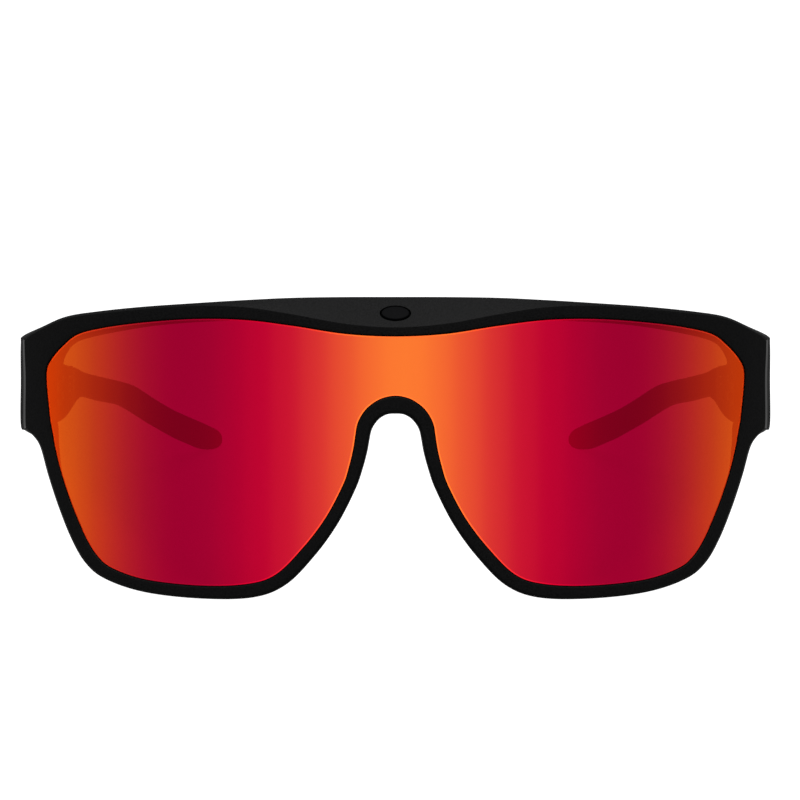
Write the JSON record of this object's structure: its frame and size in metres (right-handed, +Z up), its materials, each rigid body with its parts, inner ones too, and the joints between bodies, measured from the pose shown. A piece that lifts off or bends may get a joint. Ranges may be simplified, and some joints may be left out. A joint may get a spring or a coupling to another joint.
{
  "type": "wraparound sport sunglasses",
  "caption": "Wraparound sport sunglasses: one mirrored shield lens in a full black rim, with two folding temples, nose pads and rubber temple tips.",
  "frame": {"origin": "on the surface that the glasses stand on, under the middle of their bounding box", "axes": "+X to the wearer's left, +Y from the lens to the temple tips, +Z up; the glasses lean back on the lower rims and the temple tips"},
  "size_m": [0.1462, 0.1618, 0.0543],
  "materials": {
    "frame_black": "moulded black nylon, satin with a very fine grain",
    "lens_mirror": "polished polycarbonate, red mirror coating that turns orange towards the middle and the ends",
    "rubber_black": "soft matt black rubber",
    "hinge_black": "stamped steel hinge leaves with a thin black coating",
    "screw_black": "turned steel screws and pins, blackened",
    "badge_black": "plain gloss black plate with no mark"
  },
  "bodies": {
    "front": {"front_frame": "frame_black", "shield_lens": "lens_mirror", "brow_badge": "badge_black", "nose_pad_left": "rubber_black", "nose_pad_right": "rubber_black", "frame_hinge_left": "hinge_black", "frame_hinge_right": "hinge_black", "hinge_pin_left": "screw_black", "hinge_pin_right": "screw_black", "frame_screw_lower_left": "screw_black", "frame_screw_lower_right": "screw_black", "frame_screw_upper_left": "screw_black", "frame_screw_upper_right": "screw_black"},
    "temple_left": {"temple_hinge_left": "hinge_black", "temple_screw_lower_left": "screw_black", "temple_screw_upper_left": "screw_black", "temple_arm_left": "frame_black", "temple_tip_left": "rubber_black"},
    "temple_right": {"temple_hinge_right": "hinge_black", "temple_screw_lower_right": "screw_black", "temple_screw_upper_right": "screw_black", "temple_arm_right": "frame_black", "temple_tip_right": "rubber_black"}
  },
  "joints": [
    {"name": "fold_left", "type": "hinge", "parent": "front", "child": "temple_left", "pos_m": [0.0652, -0.03917, 0.03344], "axis": [0, 0.152, 0.9884], "range_deg": [0, 85]},
    {"name": "fold_right", "type": "hinge", "parent": "front", "child": "temple_right", "pos_m": [-0.0652, -0.03917, 0.03344], "axis": [0, -0.152, -0.9884], "range_deg": [0, 78]}
  ]
}
